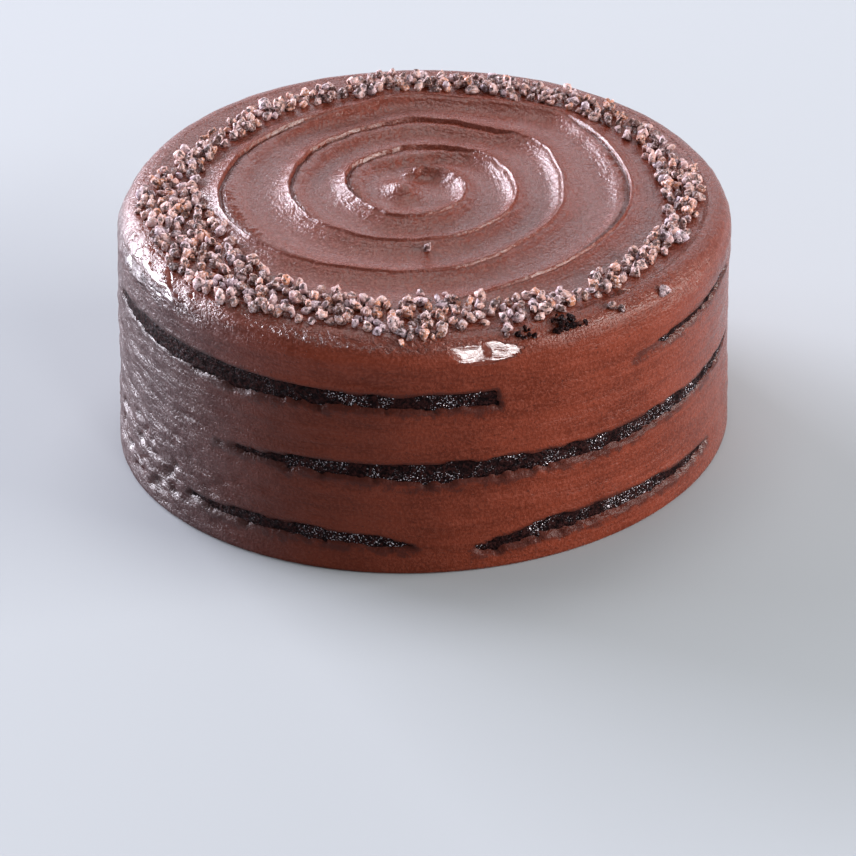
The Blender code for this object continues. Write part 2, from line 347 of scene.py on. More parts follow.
def crest_radius(turn):
    """Distance of the crest from the swirl's centre, where turn counts inwards."""
    if turn <= 0:
        return SWIRL_START
    if turn >= SWIRL_END:
        return 0.0
    wobble = CREST_WOBBLE * noise.noise(Vector((turn * 11, 0.3, 0)))
    wobble += CREST_SHAKE * noise.noise(Vector((turn * 55, 3.3, 0)))
    wobble *= smooth(turn / WOBBLE_EASE_IN)
    drawn = wound(CREST_RADII, turn) + wobble * smooth((SWIRL_END - turn) / WOBBLE_EASE_OUT)
    return max(0.0, SWIRL_START + (drawn - SWIRL_START) * smooth(turn / SWIRL_START_EASE))


def crest_height(turn):
    """Height of the crest, which fades out at both ends."""
    fade = min(turn, SWIRL_TURNS - turn) / SWIRL_FADE
    uneven = 0.16 * noise.noise(Vector((turn * 7, 4, 0)))
    uneven += 0.12 * noise.noise(Vector((turn * 42, 9, 0)))
    return CREST_HEIGHT * smooth(fade) * (1 + uneven)


def ripples(turn, inward, place):
    """Slanting ridges that the spatula left on the wide parts of the ledge."""
    degrees = (turn * 360) % 360
    where = bell(degrees, 290, 34) + bell(degrees, 92, 22) * (1 if turn < 1 else 0.3)
    along = turn * math.tau * crest_radius(turn) + inward * 0.9
    wave = math.sin(math.tau * along / RIPPLE_LENGTH + 3 * grain(place, 0.006, 15))
    return RIPPLE_HEIGHT * where * wave


def ledge_height(turn, inward, width, place):
    """Height on the ledge, this far inwards from the lip."""
    lip = crest_height(turn)
    strength = min(1.0, lip / CREST_HEIGHT)
    floor = lip - LIP_HEIGHT * smooth(width / WIDE_LEDGE) * strength
    drop = smooth(inward / min(LIP_WIDTH, width * 0.6))
    middle = math.sin(math.pi * clamp(inward / width))
    uneven = layers(place, [LEDGE_GRAIN]) + ripples(turn, inward, place)
    crevice = CREVICE_DEPTH * smooth((width - CREVICE_LEDGE) / CREVICE_EASE)
    crevice *= bell(inward, CREVICE_PLACE, CREVICE_WIDTH)
    return lip + (floor - lip) * drop + (middle * uneven - crevice) * strength


def notch(turn, outside):
    """Depth of the thin line along the outer foot of the crest, deepest at the front."""
    from_front = (turn * 360 + 180) % 360 - 180
    depth = NOTCH_DEPTH * bell(from_front, *NOTCH_SIDE) * bell(outside, NOTCH_PLACE, NOTCH_WIDTH)
    return depth * crest_height(turn) / CREST_HEIGHT


def relief(turn, inward, width, place):
    """Height this far inwards from the crest at this turn, over a trough of this width."""
    ledge = min(MOST_LEDGE * width, wound(LEDGE_WIDTHS, turn))
    if inward < ledge:
        return ledge_height(turn, inward, ledge, place)
    edge = ledge_height(turn, ledge, ledge, place)
    share = (inward - ledge) / max(1e-6, width - ledge)
    if share < VALLEY_PLACE:
        return edge * (1 - share / VALLEY_PLACE) ** CREST_SHARPNESS
    rise = (share - VALLEY_PLACE) / (1 - VALLEY_PLACE)
    height = crest_height(turn + 1) * clamp(rise) ** CREST_SHARPNESS
    return height - notch(turn + 1, width - inward)


def peak(x, y):
    """The little peak that the spatula leaves where the swirl ends."""
    away = Vector((x, y)) - SWIRL_CENTRE - PEAK_OFFSET
    skew = away.y + away.x * 0.4
    return PEAK_HEIGHT * math.exp(-((away.x**2 + skew**2) / PEAK_RADIUS**2))


def swirl_state(x, y):
    """(height over the flat top, distance across the drawn grooves) at a point."""
    place = Vector((x, y))
    away = place - SWIRL_CENTRE
    distance = away.length
    turn = (math.atan2(away.y, away.x) / math.tau + 0.25) % 1.0
    outside = distance - crest_radius(turn)
    if outside >= 0:
        fall = max(0.0, 1 - outside / OUTER_FALL) ** CREST_SHARPNESS
        height = crest_height(turn) * fall - notch(turn, outside)
        return height, SWIRL_START - distance
    while turn + 1 < SWIRL_END and distance < crest_radius(turn + 1):
        turn += 1
    outer = crest_radius(turn)
    width = outer - (crest_radius(turn + 1) if turn + 1 < SWIRL_END else 0.0)
    inward = outer - distance
    return relief(turn, inward, width, (x, y, 0)) + peak(x, y), SWIRL_START - distance


def top_height(x, y):
    """Height of the frosting's upper surface, as far out as the rim's rounded edge."""
    past_flat = math.hypot(x, y) - FLAT_RADIUS
    if past_flat <= 0:
        return TOP_HEIGHT + swirl_state(x, y)[0]
    drop = 1 - math.sqrt(max(0.0, 1 - (past_flat / RIM_ROUND_OUT) ** 2))
    return TOP_HEIGHT - RIM_ROUND_DOWN * drop


def bareness(degrees, z, point):
    """How far inside the edge of a bare band a point is, in metres, negative outside."""
    most = -0.01
    for stations in BARE_BANDS:
        from_end = min(degrees - stations[0][0], stations[-1][0] - degrees) * DEGREE_LENGTH
        if from_end < -BAND_END_REACH:
            continue
        middle = between(stations, clamp(degrees, stations[0][0], stations[-1][0]), 1) / 1000
        half = between(stations, clamp(degrees, stations[0][0], stations[-1][0]), 2) / 2000
        inside = min(half - abs(z - middle), from_end)
        if inside < 0 and z < middle:
            inside *= 0.5
        if inside < -BAND_SIDE_REACH:
            continue
        lower = smooth((middle - z) / half)
        inside += BAND_RAGGED * (0.25 + lower) * grain(point, 0.0026, 3)
        inside += 0.7 * BAND_RAGGED * grain((point.x, point.y, point.z * 4), 0.009, 5)
        most = max(most, inside)
    return most


def slanted(degrees, point, slant, stretch):
    """The point in a space where noise is drawn out along this slant of the side."""
    return Vector((point.x, point.y, (point.z - slant * degrees * DEGREE_LENGTH) * stretch))


def pitting(degrees, z, point):
    """How deep the torn pits low at the left are at a point, from 0 to 1."""
    height = PITTED_HEIGHT + 0.0002 * (degrees + 60)
    torn = bell(degrees, *PITTED_SIDE) * smooth((height - z) / PITTED_FADE)
    return torn * smooth(1.7 * (grain(point, 0.0085, 6) + 0.8 * grain(point, 0.0042, 7) - 0.1))


def wall_offset(degrees, z, point):
    """How far the side stands out from its turned form."""
    angle = math.radians(degrees)
    offset = WALL_WAVES[0] * math.sin(3 * angle + 40 * z)
    offset += WALL_WAVES[1] * math.sin(5 * angle - 70 * z + 1)
    knife = Vector((point.x, point.y, point.z * MARK_SQUEEZE))
    left = bell(degrees, *LEFT_SIDE)
    offset += (KNIFE_MARKS + KNIFE_MARKS_LEFT * left) * grain(knife, MARK_LENGTH, 1)
    offset += (FINE_MARKS + FINE_MARKS_LEFT * left) * grain(knife * 3, MARK_LENGTH, 2)
    offset -= WALL_INSET * (1 + left)
    offset += layers(point, [WALL_LUMPS])
    slant = slanted(degrees, point, SIDE_SLANT, SIDE_STRETCH)
    rough = 0.35 + 1.4 * bell(degrees, *ROUGH_LEFT) + 0.5 * bell(degrees, *ROUGH_RIGHT)
    offset += rough * layers(slant, [WALL_GRAIN])
    offset -= PIT_DEPTH * pitting(degrees, z, slant)
    offset -= DIP_DEPTH * bell(z, *DIP_HEIGHT) * bell(degrees, *DIP_SIDE)
    line = bell(z, LINE_HEIGHT + 0.0001 * (degrees - 42), LINE_WIDTH)
    offset -= LINE_DEPTH * line * bell(degrees, *LINE_SIDE)
    return offset * min(1.0, z / EVEN_FOOT)


def rim_offset(degrees, z, point):
    """Ridges dragged along the rim, strongest at the left."""
    near_rim = smooth((z - RIM_FOOT) / RIM_FADE)
    streak = slanted(degrees, point, RIM_SLANT, RIM_STRETCH)
    left = bell(degrees, *RIM_LEFT) + 0.35 * bell(degrees, *RIM_RIGHT) + 0.12
    ridges = grain(streak, 0.0062, 8) + 0.5 * grain(streak, 0.0030, 10)
    return RIM_RIDGES * left * near_rim * ridges


def coat_profile():
    """Turned outline from the swirl's outer edge over the rim to the underside."""
    points = []
    for ring in range(OUTER_TOP_RINGS + 1):
        share = ring / OUTER_TOP_RINGS
        points.append((SWIRL_START + (FLAT_RADIUS - SWIRL_START) * share, TOP_HEIGHT))
    for step in range(1, RIM_STEPS + 1):
        turn = math.pi / 2 * step / RIM_STEPS
        radius = FLAT_RADIUS + RIM_ROUND_OUT * math.sin(turn)
        points.append((radius, TOP_HEIGHT - RIM_ROUND_DOWN * (1 - math.cos(turn))))
    rim_foot = TOP_HEIGHT - RIM_ROUND_DOWN
    for ring in range(1, WALL_RINGS + 1):
        share = ring / WALL_RINGS
        radius = WALL_RADIUS + (FOOT_RADIUS - WALL_RADIUS) * share**2
        points.append((radius, rim_foot + (FOOT_EDGE - rim_foot) * share))
    return points + [(FOOT_RADIUS - FOOT_EDGE, 0.0), (0.0, 0.0)]


def turn_profile(bm, points, segments):
    """A grid wrapped round Z, one row to each (radius, height) point, from the front."""
    made = bmesh.ops.create_grid(
        bm, x_segments=segments, y_segments=len(points) - 1, size=0.5
    )
    for vert in made["verts"]:
        radius, z = points[round((vert.co.y + 0.5) * (len(points) - 1))]
        angle = math.tau * (vert.co.x + 0.5 - 0.25)
        vert.co = (radius * math.cos(angle), radius * math.sin(angle), z)


def draw_swirl(bm):
    """A strip that follows the crest inwards, turn by turn, down to the swirl's centre."""
    turns = round((SWIRL_END + 1) * SEGMENTS) / SEGMENTS
    bmesh.ops.create_grid(
        bm, x_segments=round(turns * SEGMENTS), y_segments=SWIRL_COLUMNS, size=0.5
    )
    for vert in bm.verts:
        turn = (vert.co.x + 0.5) * turns - 1
        share = vert.co.y + 0.5
        share -= COLUMN_CROWDING * math.sin(math.tau * share) / math.tau
        angle = math.tau * (turn - 0.25)
        outer = crest_radius(turn)
        radius = outer + (crest_radius(turn + 1) - outer) * share
        radius = radius if radius > POLE_RADIUS else 0.0
        place = SWIRL_CENTRE + Vector((math.cos(angle), math.sin(angle))) * radius
        vert.co = (*place, TOP_HEIGHT)


def close_up(bm):
    """Merges what meets at seams and poles, and turns every face outwards."""
    bmesh.ops.remove_doubles(bm, verts=bm.verts, dist=MERGE_DISTANCE)
    bmesh.ops.dissolve_degenerate(bm, edges=bm.edges, dist=1e-7)
    bmesh.ops.recalc_face_normals(bm, faces=bm.faces)


def shape_top(vert, across):
    """Lifts one point of the top into the swirl, with the fine lines of the spatula."""
    height, groove = swirl_state(vert.co.x, vert.co.y)
    place = Vector((vert.co.x * 0.2, vert.co.y * 0.2, groove))
    uneven = layers(place, SPATULA_LINES) + layers(vert.co, TOP_WAVES)
    vert[across] = groove
    vert.co.z = TOP_HEIGHT + height + uneven


def wipe_smear(vert):
    """Flattens the rim where the spatula left it, and tells how shiny it is there."""
    level = direction(SMEAR_DIRECTION) * math.sin(SMEAR_TILT)
    outwards = Vector((*level, math.cos(SMEAR_TILT)))
    foot = Vector((*(direction(SMEAR_DIRECTION) * SMEAR_RADIUS), SMEAR_HEIGHT))
    proud = (vert.co - foot).dot(outwards) + SMEAR_CUT + SMEAR_EDGE * grain(vert.co, 0.004, 18)
    cut = max(0.0, proud) * smooth(proud / SMEAR_EASE)
    vert.co -= outwards * (cut - SMEAR_TEXTURE * grain(vert.co, 0.0016, 19))
    return smooth(cut / SMEAR_EASE)


def shape_side(vert, across, bare, gloss, upper):
    """Moves one point of the rim or wall, and sinks it where the sponge is bare."""
    degrees = facing(vert.co)
    radius = vert.co.xy.length
    z = vert.co.z
    inside = bareness(degrees, z, vert.co)
    offset = wall_offset(degrees, z, vert.co) + rim_offset(degrees, z, vert.co)
    offset -= BAND_DEPTH * smooth(inside / BAND_EDGE)
    pit = pitting(degrees, z, slanted(degrees, vert.co, SIDE_SLANT, SIDE_STRETCH))
    vert[bare] = max(smooth(inside / TORN_EDGE + 1), pit)
    vert[upper] = smooth((z - UPPER_FOOT) / RIM_FADE)
    vert[across] = (FLAT_RADIUS - radius) + z - TOP_HEIGHT
    streak = bell(degrees, *SHINE_SIDE) * bell(z, *SHINE_HEIGHT)
    ridge = grain(slanted(degrees, vert.co, RIM_SLANT, RIM_STRETCH), 0.0062, 8)
    streak *= smooth(0.55 + 2.2 * ridge)
    glints = 0.62 * bell(degrees, *GLINT_SIDE) * bell(z, *GLINT_HEIGHT)
    vert[gloss] = max(clamp(1.5 * streak), glints)
    vert.co.z -= HOLE_DEPTH * bell(degrees, *HOLE_SIDE) * bell(z, *HOLE_HEIGHT)
    vert.co.xy *= 1 + offset / radius
    if abs(degrees - SMEAR_DIRECTION) < SMEAR_SPREAD and z > SMEAR_FOOT:
        vert[gloss] = max(vert[gloss], wipe_smear(vert))


def finish_mesh(name, bm, material):
    """Makes the piece, smooth shaded, at the origin, riding on the cake."""
    mesh = bpy.data.meshes.new(name)
    bm.to_mesh(mesh)
    bm.free()
    mesh.materials.append(material)
    mesh.shade_smooth()
    piece = bpy.data.objects.new(name, mesh)
    bpy.context.scene.collection.objects.link(piece)
    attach(piece, "root")
    return piece


def make_coat(material):
    bm = bmesh.new()
    draw_swirl(bm)
    swirl_verts = set(bm.verts)
    turn_profile(bm, coat_profile(), SEGMENTS)
    for vert in bm.verts:
        if vert in swirl_verts or vert.co.z < TOP_HEIGHT - 1e-6:
            continue
        share = (vert.co.xy.length - SWIRL_START) / (FLAT_RADIUS - SWIRL_START)
        vert.co.xy += SWIRL_CENTRE * (1 - share)
    close_up(bm)
    across = bm.verts.layers.float.new("across")
    bare = bm.verts.layers.float.new("bare")
    gloss = bm.verts.layers.float.new("gloss")
    upper = bm.verts.layers.float.new("upper")
    for vert in bm.verts:
        radius = vert.co.xy.length
        if vert.co.z > TOP_HEIGHT - 1e-6 and radius < FLAT_RADIUS + 1e-6:
            shape_top(vert, across)
            vert[upper] = 1.0
        elif radius > FLAT_RADIUS:
            shape_side(vert, across, bare, gloss, upper)
        vert.co = settle(vert.co)
    return finish_mesh("frosting_coat", bm, material)


def make_sponge(name, lower, upper, material):
    """One layer with a crumbly side, which swells into the gaps of the coat."""
    bm = bmesh.new()
    rings = round((upper - lower - 2 * SPONGE_EDGE) / CRUMB_RING)
    side = upper - lower - 2 * SPONGE_EDGE
    points = [(0.0, upper), (SPONGE_RADIUS - SPONGE_EDGE, upper)]
    for ring in range(rings + 1):
        points.append((SPONGE_RADIUS, upper - SPONGE_EDGE - side * ring / rings))
    points += [(SPONGE_RADIUS - SPONGE_EDGE, lower), (0.0, lower)]
    turn_profile(bm, points, SPONGE_SEGMENTS)
    close_up(bm)
    for vert in bm.verts:
        radius = vert.co.xy.length
        if radius > SPONGE_RADIUS - SPONGE_EDGE / 2:
            swell = smooth(bareness(facing(vert.co), vert.co.z, vert.co) / SWELL_EASE + 0.5)
            crumb = layers(vert.co, SPONGE_CRUMBS)
            vert.co.xy *= 1 + (crumb + SPONGE_SWELL * swell - SPONGE_INSET) / radius
        vert.co = settle(vert.co)
    return finish_mesh(name + "_crumb", bm, material)


def ring_place(rng):
    """A place somewhere in the ring, whose edges are uneven."""
    degrees = rng.uniform(0, 360)
    inner = between(NIB_RING, degrees, 1) / 1000
    outer = between(NIB_RING, degrees, 2) / 1000
    radius = math.sqrt(rng.uniform(inner**2, outer**2))
    place = direction(degrees) * radius
    edge = min(radius - inner, outer - radius) - NIB_EDGE
    patch = grain((*place, 0), 0.010, 31)
    gap = grain((*place, 0), 0.0055, 32)
    kept = edge + RING_PATCH * patch > 0 and gap > RING_GAP
    return place if kept else None


class Tray:
    """Nibs laid out so far, kept by small squares so that neighbours are found quickly."""

    def __init__(self):
        self.squares = {}
        self.nibs = []

    def square(self, place):
        return math.floor(place.x / TRAY_SQUARE), math.floor(place.y / TRAY_SQUARE)

    def lay(self, place, size, lift):
        self.nibs.append((place, size, lift))
        self.squares.setdefault(self.square(place), []).append(place)

    def neighbours(self, place, reach):
        """How many nibs lie within this reach, which is less than a square."""
        column, row = self.square(place)
        count = 0
        for x in (column - 1, column, column + 1):
            for y in (row - 1, row, row + 1):
                near = self.squares.get((x, y), ())
                count += sum((place - other).length < reach for other in near)
        return count


def spread_nibs(rng):
    """(place, size, lift) of every nib: a layer on the frosting, then some on top of it."""
    floor, pile = Tray(), Tray()
    for _ in range(NIB_TRIES):
        place = ring_place(rng)
        if place is None:
            continue
        size = rng.triangular(*NIB_SIZE)
        if not floor.neighbours(place, 0.5 * size + 0.5 * NIB_SPACING):
            floor.lay(place, size, 0.0)
    for _ in range(PILE_TRIES):
        place = ring_place(rng)
        if place is None:
            continue
        size = rng.triangular(*PILE_SIZE)
        held = floor.neighbours(place, PILE_REACH) >= PILE_SUPPORTS
        if held and not pile.neighbours(place, PILE_SPACING):
            pile.lay(place, size, PILE_LIFT)
    strays = [(Vector((x, y)) / 1000, size / 1000, 0.0) for x, y, size in STRAY_NIBS]
    return floor.nibs + pile.nibs + strays


def spread_crumbs(rng):
    """(place, size, lift) of the dark sponge crumbs caught at the front of the rim."""
    crumbs = []
    for x, y, count in DARK_CRUMBS:
        for _ in range(count):
            across, along = [rng.gauss(0, spread) for spread in CRUMB_SCATTER]
            place = Vector((x + across, y + along)) / 1000
            place *= min(1.0, CRUMB_REACH / place.length)
            crumbs.append((place, rng.triangular(*CRUMB_SIZE), rng.uniform(0, CRUMB_LIFT)))
    return crumbs


def shape_granule(verts, tone, place, size, lift, rng):
    """Turns a small ball into one chopped granule that lies on the frosting."""
    narrower, thinner = rng.uniform(*GRANULE_WIDTH), rng.uniform(*GRANULE_THICKNESS)
    sides = Vector((size, size * narrower, size * thinner))
    turn = Euler([rng.uniform(0, math.tau) for _ in range(3)])
    seed = rng.uniform(0, 50)
    shade = rng.random()
    cuts = [(Vector(rng.gauss(0, 1) for _ in range(3)).normalized(), rng.uniform(*CHOP_DISTANCE))
            for _ in range(CHOPS)]
    for vert in verts:
        lump = noise.noise(vert.co * GRANULE_LUMP_SCALE + Vector((seed, seed, 0)))
        vert.co *= GRANULE_GROWTH + GRANULE_LUMPS * lump
        for side, depth in cuts:
            vert.co -= side * max(0.0, vert.co.dot(side) - depth)
        vert.co *= sides
        vert.co.rotate(turn)
        vert[tone] = shade
    foot = top_height(*place) + lift - GRANULE_SINK * size - min(vert.co.z for vert in verts)
    for vert in verts:
        vert.co = settle(vert.co + Vector((*place, foot)))
    proud = max(vert.co.z for vert in verts) - cad_box[1][2] + BOX_MARGIN
    for vert in verts:
        vert.co.z -= max(0.0, proud)


def make_granules(name, places, rng, material):
    """All granules of a kind: one ball is doubled until there are enough of them."""
    bm = bmesh.new()
    tone = bm.verts.layers.float.new("tone")
    bmesh.ops.create_cube(bm, size=1)
    bmesh.ops.subdivide_edges(bm, edges=bm.edges, cuts=1, use_grid_fill=True)
    for vert in bm.verts:
        vert.co = vert.co.lerp(vert.co.normalized() * 0.5, GRANULE_ROUNDNESS)
    each = len(bm.verts)
    while len(bm.verts) < each * len(places):
        bmesh.ops.duplicate(bm, geom=bm.verts[:] + bm.edges[:] + bm.faces[:])
    verts = list(bm.verts)
    bmesh.ops.delete(bm, geom=verts[each * len(places):], context="VERTS")
    for index, (place, size, lift) in enumerate(places):
        own = verts[each * index:each * (index + 1)]
        shape_granule(own, tone, place, size, lift, rng)
    bmesh.ops.recalc_face_normals(bm, faces=bm.faces)
    return finish_mesh(name, bm, material)


class Wire:
    """One output of a shader node. Sums and products of wires add Math nodes."""

    def __init__(self, finish, socket):
        self.finish = finish
        self.socket = socket

    def maths(self, operation, first, second):
        return self.finish.node("ShaderNodeMath", {"operation": operation}, {0: first, 1: second})

    def __add__(self, other):
        return self.maths("ADD", self, other)

    def __radd__(self, other):
        return self.maths("ADD", other, self)

    def __sub__(self, other):
        return self.maths("SUBTRACT", self, other)

    def __rsub__(self, other):
        return self.maths("SUBTRACT", other, self)

    def __mul__(self, other):
        return self.maths("MULTIPLY", self, other)

    def __rmul__(self, other):
        return self.maths("MULTIPLY", other, self)


def colour(red, green, blue):
    return (red, green, blue, 1.0)


def socket_names(sockets):
    return {key.replace("_", " "): value for key, value in sockets.items()}


class Finish:
    """A material and the nodes that make it."""

    def __init__(self, name, **fixed):
        self.material = bpy.data.materials.new(name)
        self.material.use_nodes = True
        self.tree = self.material.node_tree
        self.shader = self.tree.nodes["Principled BSDF"]
        self.feed(self.shader, socket_names(fixed))

    def feed(self, made, sockets):
        for key, value in sockets.items():
            if isinstance(value, Wire):
                self.tree.links.new(value.socket, made.inputs[key])
            else:
                made.inputs[key].default_value = value

    def node(self, kind, settings, sockets, output=0):
        """A node of this type with its settings made first, then its sockets fed."""
        made = self.tree.nodes.new(kind)
        for key, value in settings.items():
            if key == "stops":
                while len(made.color_ramp.elements) < len(value):
                    made.color_ramp.elements.new(0.5)
                for element, (place, shade) in zip(made.color_ramp.elements, value):
                    element.position = place
                    element.color = shade
            else:
                setattr(made, key, value)
        self.feed(made, sockets)
        return Wire(self, made.outputs[output])

    def place(self):
        return self.node("ShaderNodeTexCoord", {}, {}, "Object")

    def axis(self, name):
        return self.node("ShaderNodeSeparateXYZ", {}, {"Vector": self.place()}, name)

    def join(self, x, y, z):
        return self.node("ShaderNodeCombineXYZ", {}, {0: x, 1: y, 2: z})

    def attribute(self, name):
        return self.node("ShaderNodeAttribute", {"attribute_name": name}, {}, "Fac")

    def speckle(self, vector, scale, detail=2.0, roughness=0.5):
        sockets = {"Vector": vector, "Scale": scale, "Detail": detail, "Roughness": roughness}
        return self.node("ShaderNodeTexNoise", {}, sockets)

    def step(self, value, low, high, new_low=0.0, new_high=1.0):
        """Eases from one value to another as the first goes from low to high."""
        sockets = {0: value, 1: low, 2: high, 3: new_low, 4: new_high}
        return self.node("ShaderNodeMapRange", {"interpolation_type": "SMOOTHSTEP"}, sockets)

    def mix(self, factor, first, second):
        sockets = {0: factor, 6: first, 7: second}
        return self.node("ShaderNodeMix", {"data_type": "RGBA"}, sockets, 2)

    def bump(self, height, distance):
        sockets = {"Height": height, "Distance": distance, "Strength": 1.0}
        return self.node("ShaderNodeBump", {}, sockets)

    def overlay(self, factor, other):
        """Shows another shader over the plain one by this factor."""
        plain = Wire(self, self.shader.outputs[0])
        mixed = self.node("ShaderNodeMixShader", {}, {0: factor, 1: plain, 2: other})
        self.feed(self.tree.nodes["Material Output"], {"Surface": mixed})

    def wear(self, **sockets):
        self.feed(self.shader, socket_names(sockets))
        return self.material


# Zones of the frosting, as the places where each begins and is full
LEFT_ZONE = (-0.030, -0.088)
RIGHT_ZONE = (0.070, 0.102)
SHADED_ZONE = (0.045, -0.055)
SHADED_HEIGHT = (0.079, 0.056)

FROSTING_DARK = colour(0.115, 0.0180, 0.0070)
FROSTING_PALE = colour(0.185, 0.033, 0.015)
# Pale dusty specks, partly a painted highlight on the raised grain
FROSTING_DUST_AND_HIGHLIGHT = colour(0.30, 0.075, 0.045)
FROSTING_SHADED = colour(0.060, 0.011, 0.004)
FROSTING_LEFT_TONE_AND_SHADE = colour(0.028, 0.008, 0.009)
FROSTING_PORE_SHADE = colour(0.045, 0.010, 0.007)
FROSTING_TORN = colour(0.036, 0.009, 0.007)
FROSTING_BUMP = 0.00070


def frosting_finish():
    """Chocolate frosting: glossy and grained on top, duller at its side, wiped at its left, with
    painted highlights on its raised grain, painted shade in its pores and low at the front left,
    and a left side darker partly from painted shade.
    """
    finish = Finish("chocolate_frosting", IOR=1.24)
    place = finish.place()
    across = finish.attribute("across")
    bare = finish.attribute("bare")
    x_place = finish.axis("X")
    y_place = finish.axis("Y")
    z_place = finish.axis("Z")
    on_top = finish.attribute("upper")
    at_left = finish.step(x_place, *LEFT_ZONE) * (1 - 0.85 * on_top)
    at_right = finish.step(x_place, *RIGHT_ZONE) * (1 - on_top)
    shaded = finish.step(x_place, *SHADED_ZONE) * finish.step(z_place, *SHADED_HEIGHT)

    dragged = finish.join(x_place * 110.0, y_place * 110.0, across * 1000.0)
    streaks = finish.speckle(dragged, 1.0, 3.0, 0.6)
    drawn_out = finish.join(x_place * 24.0, y_place * 24.0, across * 260.0)
    strokes = finish.speckle(drawn_out, 1.0)
    patches = finish.speckle(place, 42.0, 3.0, 0.55)
    fine = finish.speckle(place, 2300.0, 1.0, 0.5)
    medium = finish.speckle(place, 1000.0, 2.0, 0.55)
    soft = finish.speckle(place, 330.0, 2.0, 0.5)
    # Dark dots for pores: painted shade of small holes that are neither in the shape nor in the
    # bump
    pore_shade = finish.step(finish.speckle(place, 1300.0, 0.0), 0.25, 0.19)
    torn = finish.step(bare + (medium - 0.5) * 1.6, 0.30, 0.95)

    slope = (z_place + (x_place - y_place) * 0.18) * 900.0
    leather = finish.speckle(finish.join(x_place * 420.0, y_place * 420.0, slope), 1.0, 3.0, 0.6)
    gloss = finish.step(finish.attribute("gloss") + (leather - 0.5) * 1.3, 0.35, 0.70)
    drifts = finish.speckle(finish.join(x_place * 130.0, y_place * 130.0, slope * 0.35), 1.0)
    wiped = finish.step(leather * 0.5 + drifts * 0.5, 0.36, 0.62)

    pale = finish.step(patches * 0.4 + streaks * 0.25 + strokes * 0.35, 0.38, 0.62)
    pale = pale * (1 - 0.75 * on_top) + on_top * 0.12
    base = finish.mix(pale, FROSTING_DARK, FROSTING_PALE)
    # Paler where the grain of the bump stands up: partly dust, partly a painted highlight
    base = finish.mix(finish.step(medium, 0.42, 0.66) * 0.35, base, FROSTING_DUST_AND_HIGHLIGHT)
    base = finish.mix(shaded * 0.54, base, FROSTING_SHADED)
    # Darker and greyer towards the left: partly the coat's own tone, partly painted shade
    base = finish.mix(at_left * (0.92 - 0.15 * wiped), base, FROSTING_LEFT_TONE_AND_SHADE)
    # Painted shade in the pores
    base = finish.mix(pore_shade * 0.6, base, FROSTING_PORE_SHADE)
    base = finish.mix(torn * 0.7, base, FROSTING_TORN)

    height = fine * 0.10 + medium * 0.50 + soft * 0.12 + streaks * 0.42
    height = (height + leather * at_left * 0.55) * (1 - 0.9 * gloss)
    normal = finish.bump(height, FROSTING_BUMP)
    sheen = finish.step(medium, 0.35, 0.65, 0.17, 0.30)
    shiny = {
        "Base Color": base,
        "IOR": 1.62,
        "Roughness": sheen - 0.11 * gloss + 0.09 * at_left,
        "Normal": normal,
    }
    shown = on_top * 0.85 + at_left * (0.35 + 0.65 * wiped) + at_right * 0.7 + gloss
    finish.overlay(shown, finish.node("ShaderNodeBsdfPrincipled", {}, shiny))
    return finish.wear(Base_Color=base, Roughness=0.33 + 0.3 * at_left, Normal=normal)


SPONGE_DARK = colour(0.004, 0.0015, 0.002)
SPONGE_PALE = colour(0.036, 0.011, 0.010)
# Near-white specks of the moist crumb: a painted glint
SPONGE_WET_GLINT = colour(0.95, 0.90, 0.97)
SPONGE_BUMP = 0.0010
MOIST_ZONE = (-0.055, -0.010)


def sponge_finish(name, glints):
    """Dark moist sponge, with this much of painted glint: near-white shiny specks where it is
    moist.
    """
    finish = Finish(name, IOR=1.13)
    place = finish.place()
    crumbs = finish.speckle(place, 900.0, 3.0, 0.65)
    moist = finish.step(finish.speckle(place, 110.0, 2.0, 0.5), 0.44, 0.62)
    moist = moist * finish.step(finish.axis("X"), *MOIST_ZONE, 0.1, 1.0)
    # Near-white metallic specks where the crumb is moist: a painted glint
    wet_glint = finish.step(finish.speckle(place, 1900.0, 1.0, 0.5), 0.61, 0.68) * moist * glints
    base = finish.mix(finish.step(crumbs, 0.38, 0.70), SPONGE_DARK, SPONGE_PALE)
    return finish.wear(
        Base_Color=finish.mix(wet_glint, base, SPONGE_WET_GLINT),
        Metallic=wet_glint * 0.9,
        Roughness=0.55 - 0.30 * wet_glint,
        Normal=finish.bump(crumbs, SPONGE_BUMP),
    )


NIB_TONES = (
    (0.00, colour(0.14, 0.055, 0.045)),
    (0.15, colour(0.40, 0.20, 0.165)),
    (0.38, colour(0.66, 0.38, 0.32)),
    (0.60, colour(0.45, 0.34, 0.40)),
    (0.76, colour(0.62, 0.30, 0.23)),
    (0.90, colour(0.56, 0.21, 0.105)),
    (1.00, colour(0.12, 0.050, 0.042)),
)
# Pale tops of the nibs: partly dust, partly a painted highlight
NIB_DUST_AND_HIGHLIGHT = colour(0.96, 0.82, 0.86)
# Painted shade in the nibs' pits
NIB_PIT_SHADE = colour(0.060, 0.018, 0.014)
NIB_BUMP = 0.0007


